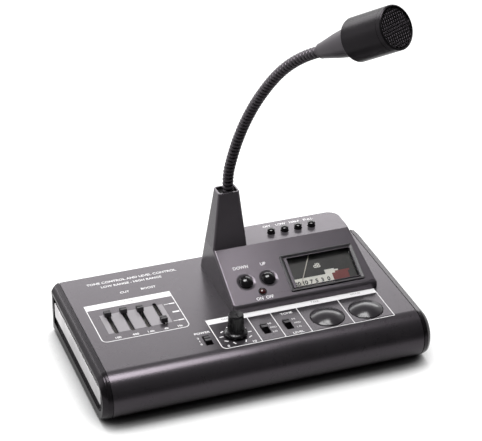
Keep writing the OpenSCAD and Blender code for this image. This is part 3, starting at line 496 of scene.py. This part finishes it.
path = neck_path()
wound = 0
for i, count in enumerate(COIL_TURNS):
    first = wound - (i == 0)
    wound += count
    last = wound + (i == len(COIL_TURNS) - 1)
    coil = chain(coil_outline(LEAD_IN + first * PITCH))
    modify(coil, "SCREW", axis="Z", angle=math.radians(360), screw_offset=PITCH * MM,
        iterations=last - first, steps=ROUND_STEPS, render_steps=ROUND_STEPS, use_smooth_shade=True)
    weld(coil, turn_out=True)
    modify(coil, "CURVE", object=path, deform_axis="POS_Z")
    done(coil, "gooseneck_coil_%d" % (i + 1), "neck_coat", smooth=60.0)
    neck_point(KNUCKLES[i] - HALF_BEND)[0] * MM
    neck_point(KNUCKLES[i] + HALF_BEND)[0] * MM
    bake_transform(coil)
    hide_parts(*(["neck_root", "neck_link_1"] if i == 0 else ["neck_link_%d" % (i + 1)]))
bpy.data.objects.remove(path)

# The grille's woven wires: radius of the round, step from wire to wire, a wire's radius and its wave
WEAVE_R = 13.9
WEAVE_GAP = 1.5
WEAVE_WIRE = 0.34
WEAVE_WAVE = 0.95 * WEAVE_WIRE


def woven(name):
    """A round of woven wire about the origin, its wires along two ways."""
    begin()
    weave = bpy.data.curves.new(name, "CURVE")
    weave.dimensions = "3D"
    weave.bevel_depth = WEAVE_WIRE * MM
    weave.bevel_resolution = 1
    count = int(WEAVE_R / WEAVE_GAP)
    for way in (0, 1):
        for i in range(-count, count + 1):
            aside = i * WEAVE_GAP
            crossed = int(math.sqrt(WEAVE_R * WEAVE_R - aside * aside) / WEAVE_GAP)
            if crossed < 1:
                continue
            stops = [j * 0.5 for j in range(-2 * crossed, 2 * crossed + 1)]
            line = weave.splines.new("POLY")
            line.points.add(len(stops) - 1)
            for point, j in zip(line.points, stops):
                wave = math.cos(math.pi * (j + i + way)) * WEAVE_WAVE
                x, y = (j * WEAVE_GAP, aside) if way == 0 else (aside, j * WEAVE_GAP)
                point.co = (x * MM, y * MM, wave * MM, 1.0)
    thing = bpy.data.objects.new(name, weave)
    bpy.context.scene.collection.objects.link(thing)
    pick(thing)
    bpy.ops.object.convert(target="MESH")
    return bpy.context.object


def on_head(along):
    """Place of a thing made about the origin, at a length along the axis of the head."""
    tip, rise = neck_point(NECK_LENGTH)
    axis = NECK_HEADING * math.cos(rise) + Vector((0, 0, math.sin(rise)))
    side = Vector((0, 0, 1)).cross(NECK_HEADING).normalized()
    turn = Matrix((side, axis.cross(side), axis)).transposed().to_4x4()
    return Matrix.Translation((tip + axis * along) * MM) @ turn


grille = woven("grille_weave")
grille.matrix_world = on_head(GRILLE_ALONG) @ Matrix.Rotation(math.radians(45), 4, "Z")
done(grille, "grille_weave", "grille_metal", smooth=60.0)
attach(grille, "neck_5")
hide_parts("head_grille")

# Thickness of ink, a capital's share of the size of the letters, and how much bolder they are than the font
INK = 0.05
CAPITAL = 0.69
BOLD = 0.03


class Print:
    """Flat ink, drawn in millimetres on a plane and then laid on the part."""

    def __init__(self):
        begin()
        bpy.ops.mesh.primitive_plane_add(size=MM)
        self.thing = bpy.context.object
        edit(self.thing)
        bpy.ops.mesh.delete(type="VERT")
        begin()
        self.words = []

    def box(self, x0, y0, x1, y1):
        """Adds a flat box between two corners and stays in edit mode; says where its middle is."""
        edit(self.thing)
        bpy.ops.mesh.select_all(action="DESELECT")
        middle = Vector(((x0 + x1) / 2, (y0 + y1) / 2, 0)) * MM
        bpy.ops.mesh.primitive_plane_add(size=MM, location=middle)
        bpy.ops.transform.resize(value=(abs(x1 - x0), abs(y1 - y0), 1))
        return middle

    def bar(self, x0, y0, x1, y1, turn=0.0):
        """A filled bar, turned about its middle."""
        middle = self.box(x0, y0, x1, y1)
        if turn:
            bpy.ops.transform.rotate(value=math.radians(turn), orient_axis="Z", center_override=middle)
        begin()

    def outline(self, box, line, round_corners, radius):
        """A thin frame, some corners of which, such as (-1, -1), are round."""
        middle = self.box(*box)
        shape = bmesh.from_edit_mesh(self.thing.data)
        rounded = {(cx > 0, cy > 0) for cx, cy in round_corners}
        for v in [v for v in shape.verts if v.select]:
            v.select = (v.co.x > middle.x, v.co.y > middle.y) in rounded
        shape.select_flush_mode()
        bmesh.update_edit_mesh(self.thing.data)
        bpy.ops.mesh.bevel(offset=radius * MM, segments=6, affect="VERTICES")
        bpy.ops.mesh.select_linked()
        bpy.ops.mesh.inset(thickness=line * MM)
        bpy.ops.mesh.delete(type="FACE")
        begin()

    def text(self, words, x, y, height, align="CENTER", bold=BOLD):
        """Words at a place, with capitals of a height."""
        begin()
        bpy.ops.object.text_add(location=(x * MM, y * MM, 0), rotation=(0, 0, 0))
        made = bpy.context.object
        made.data.body = words
        made.data.size = height / CAPITAL * MM
        made.data.align_x = align
        made.data.align_y = "CENTER"
        made.data.resolution_u = 3
        made.data.offset = bold * height * MM
        bpy.ops.object.convert(target="MESH")
        self.words.append(bpy.context.object)

    def lay(self, name, look, place, thick=INK):
        """Joins the words, gives the ink its thickness and lays it on the base's body."""
        begin()
        for made in self.words:
            made.select_set(True)
        self.thing.select_set(True)
        bpy.context.view_layer.objects.active = self.thing
        if self.words:
            bpy.ops.object.join()
        modify(self.thing, "SOLIDIFY", thickness=thick * MM, offset=1.0)
        self.thing.matrix_world = place
        done(self.thing, name, look, smooth=30.0)
        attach(self.thing, "base")


def printed(name, look, place, bars=(), labels=(), bold=BOLD):
    """Ink of one colour, from its bars and its labels."""
    made = Print()
    for bar in bars:
        made.bar(*bar)
    for label in labels:
        made.text(*label, bold=bold)
    made.lay(name, look, place)


def column(words, x, y, step, *rest):
    """Labels one below the other."""
    return [(word, x, y - step * i, *rest) for i, word in enumerate(words)]


def at(x, y, z):
    """A shift in millimetres, as a matrix."""
    return Matrix.Translation(Vector((x, y, z)) * MM)


ON_TOP = at(0, 0, COVER_TOP)
ON_CONSOLE_TOP = at(0, 0, CONSOLE_TOP)
ON_PANEL = at(*PANEL_CORNER) @ Matrix.Rotation(PANEL_SLOPE, 4, "X")
ON_DIAL = ON_PANEL @ at(DIAL_X, 0, DIAL_DEPTH)
OVER_INK = at(0, 0, INK)

# Pale patches between the sliders, clear of their slots
PATCH_LEFT, PATCH_FRONT, PATCH_RIGHT, PATCH_BACK = -104.4, 2.8, -55.6, 28.6
SLOT_CLEAR = 1.9
lefts = [PATCH_LEFT] + [x + SLOT_CLEAR for x in SLIDER_X]
rights = [x - SLOT_CLEAR for x in SLIDER_X] + [PATCH_RIGHT]
printed("base_print_pale", "ink_pale", ON_TOP,
    [(x0, PATCH_FRONT, x1, PATCH_BACK) for x0, x1 in zip(lefts, rights)])

# Frames (x0, y0, x1, y1) of the sliders and of the front row, each with a filled bar along its back
FRAME_LINE = 0.65
SLIDER_FRAME, SLIDER_BAR_BACK, SLIDER_CORNER_R = (-112.0, -7.3, -44.7, 37.9), 44.3, 4.5
ROW_FRAME, ROW_BAR_BACK, ROW_CORNER_R = (-32.6, -44.2, 102.8, -9.6), -4.0, 4.0
FRONT_LEFT, FRONT_RIGHT = (-1, -1), (1, -1)
white = Print()
for (x0, y0, x1, y1), back, round_corners, radius in (
        (SLIDER_FRAME, SLIDER_BAR_BACK, (FRONT_LEFT, FRONT_RIGHT), SLIDER_CORNER_R),
        (ROW_FRAME, ROW_BAR_BACK, (FRONT_LEFT,), ROW_CORNER_R)):
    white.bar(x0, y1, x1, back)
    white.outline((x0, y0, x1, y1), FRAME_LINE, round_corners, radius)

# Marks beside the sliders, with half the width of their thin and thick ends, and one at the middle
THIN, THICK = 0.3, 0.7
MARK_START, MARK_STEP, MARK_END = -54.5, -50.5, -46.2
END_MARKS_Y = (27.2, 3.8)
MIDDLE_MARK = (-51.5, 14.65, MARK_END, 16.35)
white.bar(*MIDDLE_MARK)
for y in END_MARKS_Y:
    white.bar(MARK_START, y - THIN, MARK_STEP, y + THIN)
    white.bar(MARK_STEP, y - THICK, MARK_END, y + THICK)

# Lines between the controls of the front row
DIVIDER_X = (-2.0, 16.3, 37.0, 70.5)
for x in DIVIDER_X:
    white.bar(x - THIN, ROW_FRAME[1] + FRAME_LINE, x + THIN, ROW_FRAME[3] - FRAME_LINE)

# Marks about the gain knob, with half the width and length of one
KNOB_MARKS, KNOB_SWEEP, KNOB_MARK_R = 10, 312.0, 10.9
HALF_W, HALF_L = 0.45, 1.5
for i in range(KNOB_MARKS):
    turn = KNOB_SWEEP * (i / (KNOB_MARKS - 1) - 0.5)
    x = GAIN_KNOB[0] + KNOB_MARK_R * math.sin(math.radians(turn))
    y = GAIN_KNOB[1] + KNOB_MARK_R * math.cos(math.radians(turn))
    white.bar(x - HALF_W, y - HALF_L, x + HALF_W, y + HALF_L, -turn)

# Words and numbers on the cover: place of each and height of its capitals
LEVELS = ("HI", "MID", "LO")
COVER_LABELS = [
    ("100", -99.5, -3.9, 2.3), ("400", -86.0, -3.9, 2.3), ("1.6k", -74.5, -3.9, 2.3),
    ("6k", -62.5, -3.9, 2.3), ("Hz", -52.0, -3.9, 2.3),
    ("TONE CONTROL AND LEVEL CONTROL", -66.0, 72.3, 2.7), ("LOW RANGE - HIGH RANGE", -68.0, 66.4, 2.6),
    ("CUT", -77.0, 54.3, 2.5), ("BOOST", -58.2, 54.3, 2.5),
    ("0", -27.2, -41.2, 2.4), ("10", -7.5, -41.6, 2.4), ("POWER", -40.2, -18.8, 2.4),
    *column(("2", "1", "0"), -45.2, -24.8, 4.0, 2.0),
    *column(LEVELS, 9.4, -23.3, 5.5, 2.0, "LEFT", 0.0),
    *column(LEVELS, 28.4, -23.3, 5.5, 2.0, "LEFT", 0.0),
    ("TONE", 27.6, -14.6, 2.4), ("LEVEL", 27.0, -41.2, 2.3),
]
for label in COVER_LABELS:
    white.text(*label)
white.lay("base_print_white", "ink_white", ON_TOP)

# Words in the white bars
printed("base_print_dark", "ink_pale", ON_TOP @ OVER_INK, bold=0.0, labels=(
    ("TONE", -78.0, 41.1, 2.0), ("GAIN", -17.5, -6.8, 2.0),
    ("TALK", 53.6, -6.8, 2.0), ("HOLD", 86.6, -6.8, 2.0)))

# Words on the console's panel, and over the small keys on its top
KEY_WORDS = ("OFF", "LOW", "HALF", "FULL")
FIRST_KEY, KEY_STEP, KEY_WORDS_Y = 41.0, 11.4, 63.4
printed("panel_print", "ink_white", ON_PANEL, labels=(
    ("DOWN", 16.2, 33.0, 2.5), ("UP", 34.0, 32.9, 2.5), ("ON", 22.3, 3.7, 2.4), ("OFF", 30.2, 3.7, 2.4)))
printed("key_print", "ink_white", ON_CONSOLE_TOP, labels=[
    (word, FIRST_KEY + KEY_STEP * i, KEY_WORDS_Y, 2.5) for i, word in enumerate(KEY_WORDS)])

# The lamp's ring: radius and height of each corner of its section, and steps round it
LAMP_RING = [(2.42, 0.02), (3.3, 0.02), (3.3, 0.35), (3.1, 0.6), (2.65, 0.6), (2.42, 0.35)]
RING_STEPS = 48
ring = chain([(r, 0, z) for r, z in LAMP_RING + LAMP_RING[:1]])
modify(ring, "SCREW", axis="Z", angle=math.radians(360), steps=RING_STEPS, render_steps=RING_STEPS,
    use_merge_vertices=True, merge_threshold=WELD)
weld(ring, turn_out=True)
ring.matrix_world = ON_PANEL @ at(*LAMP, 0)
done(ring, "lamp_ring", "gloss_black", smooth=35.0)
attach(ring, "base")

# The meter's liner: a flat frame between two boxes (x0, y0, x1, y1)
LINER_OUTER = (50.75, 6.95, 104.85, 33.85)
LINER_INNER = (53.0, 7.4, 104.3, 33.3)
LINER_LOW, LINER_HIGH = -0.6, 0.7
x0, y0, x1, y1 = LINER_OUTER
left, front, right, back = LINER_INNER
liner = Print()
for side in ((x0, y0, left, y1), (right, y0, x1, y1), (left, y0, right, front), (left, back, right, y1)):
    liner.bar(*side)
weld(liner.thing)
liner.lay("meter_liner", "console_plastic", ON_PANEL @ at(0, 0, LINER_LOW),
    LINER_HIGH - LINER_LOW)

# The meter's dial: bars (x0, y0, x1, y1) of its scale and its red field, and the places of its numbers
SCALE_BARS = ((-24.8, 8.5, 7.6, 16.4), (2.6, 16.4, 10.4, 20.2), (10.4, 17.9, 13.4, 19.2))
RED_BARS = ((7.6, 10.2, 20.6, 16.4), (10.4, 16.4, 22.2, 17.8))
DIAL_NUMBERS = (("20", -21.4), ("10", -15.6), ("7", -10.4), ("5", -6.0), ("3", -1.3), ("0", 3.7))
NUMBERS_Y, NUMBERS_H = 12.0, 3.2
printed("dial_scale", "ink_cream", ON_DIAL, SCALE_BARS)
printed("dial_red", "ink_red", ON_DIAL, RED_BARS)
printed("dial_marks", "ink_black", ON_DIAL @ OVER_INK, bold=2 * BOLD,
    labels=[(word, x, NUMBERS_Y, NUMBERS_H) for word, x in DIAL_NUMBERS])
printed("dial_unit", "ink_cream", ON_DIAL, labels=(("dB", -1.8, 25.0, 3.7),))

# The floor's width, and how far from the part its painted shade reaches, in metres
FLOOR_SIZE = 12.0
SHADE_REACH = 0.07


def floor():
    """White to the camera and in reflections, with the part's shade painted on it from occlusion, in
    reflections painted darker towards the front, and grey to other light.
    """
    begin()
    bpy.ops.mesh.primitive_plane_add(size=FLOOR_SIZE)
    plane = bpy.context.object
    plane.name = "floor"
    paint = Paint("floor_look", Roughness=0.9)
    paint.give(Base_Color=paint.mix(paint.noise(FLOOR_CLOUD, 2.0), grey(0.27), grey(0.29)))
    open_air = paint.node("ShaderNodeAmbientOcclusion", {"samples": 16}, {"Distance": SHADE_REACH}, "AO")
    # Painted shadow: occlusion near the part darkens the floor's white glow and its reflected white
    shade = paint.ramp(open_air, 0.25, 0.95)
    lit = paint.node("ShaderNodeBsdfDiffuse", {}, {"Color": grey(0.35)})
    glow = paint.node("ShaderNodeEmission", {}, {"Strength": 0.93 * shade})
    shown = paint.node("ShaderNodeAddShader", {}, {0: lit, 1: glow})
    depth = paint.node("ShaderNodeSeparateXYZ", {}, {0: paint.place()}, "Y")
    # Painted shade in reflections: the floor seen by glossy rays is dimmer in front of the part
    far = paint.ramp(depth, -0.24, -0.10, 0.25, 1.0)
    mirrored = paint.node("ShaderNodeEmission", {}, {"Strength": far * shade})
    plain = Wire(paint, paint.shader.outputs[0])
    unseen = paint.node("ShaderNodeMixShader", {},
        {0: paint.ray("Glossy") + paint.ray("Transmission"), 1: plain, 2: mirrored})
    both = paint.node("ShaderNodeMixShader", {}, {0: paint.ray("Camera"), 1: unseen, 2: shown})
    paint.put(both, paint.tree.nodes["Material Output"].inputs["Surface"])
    plane.data.materials.append(paint.material)


def surround():
    """White to the camera, and to reflections a white wall behind the part that ends overhead."""
    world = bpy.data.worlds.new("surround")
    bpy.context.scene.world = world
    world.use_nodes = True
    sky = Nodes(world.node_tree)
    way = sky.node("ShaderNodeTexCoord", output="Generated")
    behind = sky.ramp(sky.node("ShaderNodeSeparateXYZ", {}, {0: way}, "Y"), 0.0, 0.5, 0.02, 1.0)
    wall = sky.ramp(sky.node("ShaderNodeSeparateXYZ", {}, {0: way}, "Z"), 0.52, 0.78, 1.0, 0.08)
    shine = sky.ray("Glossy") * 0.85 + 0.15
    camera_ray = sky.ray("Camera")
    background = sky.tree.nodes["Background"]
    sky.put(camera_ray + (1.0 - camera_ray) * behind * wall * shine, background.inputs["Strength"])
    background.inputs["Color"].default_value = grey(1.0)


def soft_light(name, spot, aim, width, depth, watts):
    """A rectangular lamp, in metres."""
    data = bpy.data.lights.new(name, "AREA")
    data.shape = "RECTANGLE"
    data.size = width
    data.size_y = depth
    data.energy = watts
    made = bpy.data.objects.new(name, data)
    bpy.context.scene.collection.objects.link(made)
    made.location = spot
    made.rotation_euler = (Vector(aim) - Vector(spot)).to_track_quat("-Z", "Y").to_euler()


floor()
surround()
soft_light("top_soft", (-0.06, 0.06, 1.2), (-0.06, 0.06, 0.0), 0.72, 0.52, 19.0)
soft_light("left_soft", (-1.30, 0.35, 0.60), (0.0, 0.0, 0.08), 0.7, 0.8, 1.5)
soft_light("back_strip", (0.4, 3.0, 1.42), (0.0, 0.0, 0.05), 5.0, 0.9, 60.0)

# The camera, as fitted to the photograph: focal length and width in its pixels, eye in metres
FOCAL, PHOTO_WIDTH, SENSOR = 1831.7474, 482.0, 36.0
EYE = (-0.3991514, -1.0793690, 0.7784120)
EYE_RIGHT = Vector((0.9396294, -0.3421703, 0.0040195))
EYE_DOWN = Vector((-0.1672249, -0.4693989, -0.8670066))
EYE_AHEAD = Vector((0.2985507, 0.8139927, -0.4982804))
scene = bpy.context.scene
scene.view_settings.view_transform = "Standard"
camera_data = bpy.data.cameras.new("camera")
camera_data.sensor_width = SENSOR
camera_data.lens = FOCAL / PHOTO_WIDTH * SENSOR
camera_data.clip_start = 0.05
camera_data.clip_end = 30.0
camera = bpy.data.objects.new("camera", camera_data)
scene.collection.objects.link(camera)
facing = Matrix((EYE_RIGHT, -EYE_DOWN, -EYE_AHEAD)).transposed().to_4x4()
camera.matrix_world = Matrix.Translation(EYE) @ facing
scene.camera = camera
